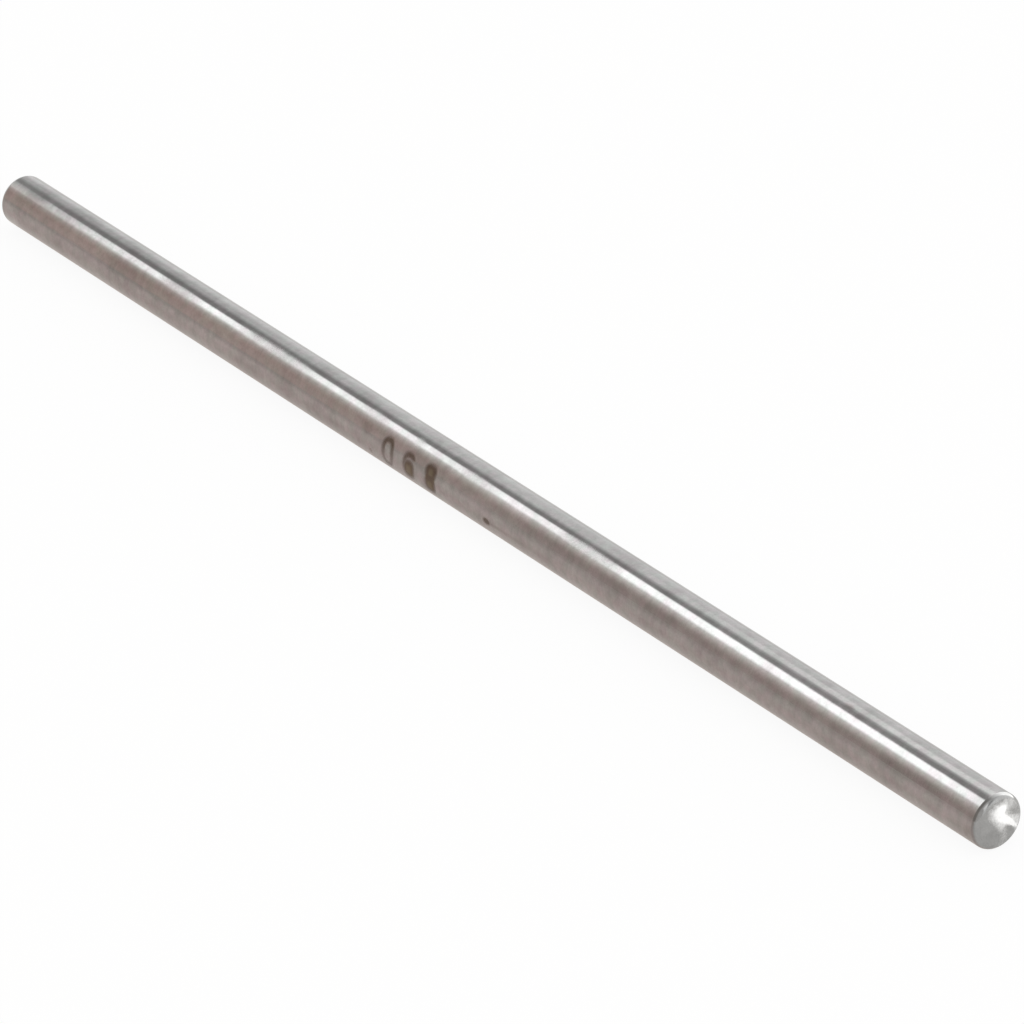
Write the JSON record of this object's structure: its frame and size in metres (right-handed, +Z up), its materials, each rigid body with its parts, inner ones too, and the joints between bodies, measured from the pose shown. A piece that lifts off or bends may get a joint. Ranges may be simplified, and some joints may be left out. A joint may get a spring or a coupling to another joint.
{
  "type": "pin gauge",
  "caption": "Plain cylindrical gauge pin with crowned, rounded ends, for checking the size of a small hole.",
  "frame": {"origin": "on the pin's axis, at mid length", "axes": "+X along the pin's axis, towards the end nearer the viewer; +Z up when the pin lies on a table"},
  "size_m": [0.0508, 0.0018, 0.0018],
  "materials": {
    "ground_steel": "centreless ground, fine circumferential lay, satin to bright"
  },
  "bodies": {
    "root": {"gauge_pin": "ground_steel"}
  },
  "joints": []
}
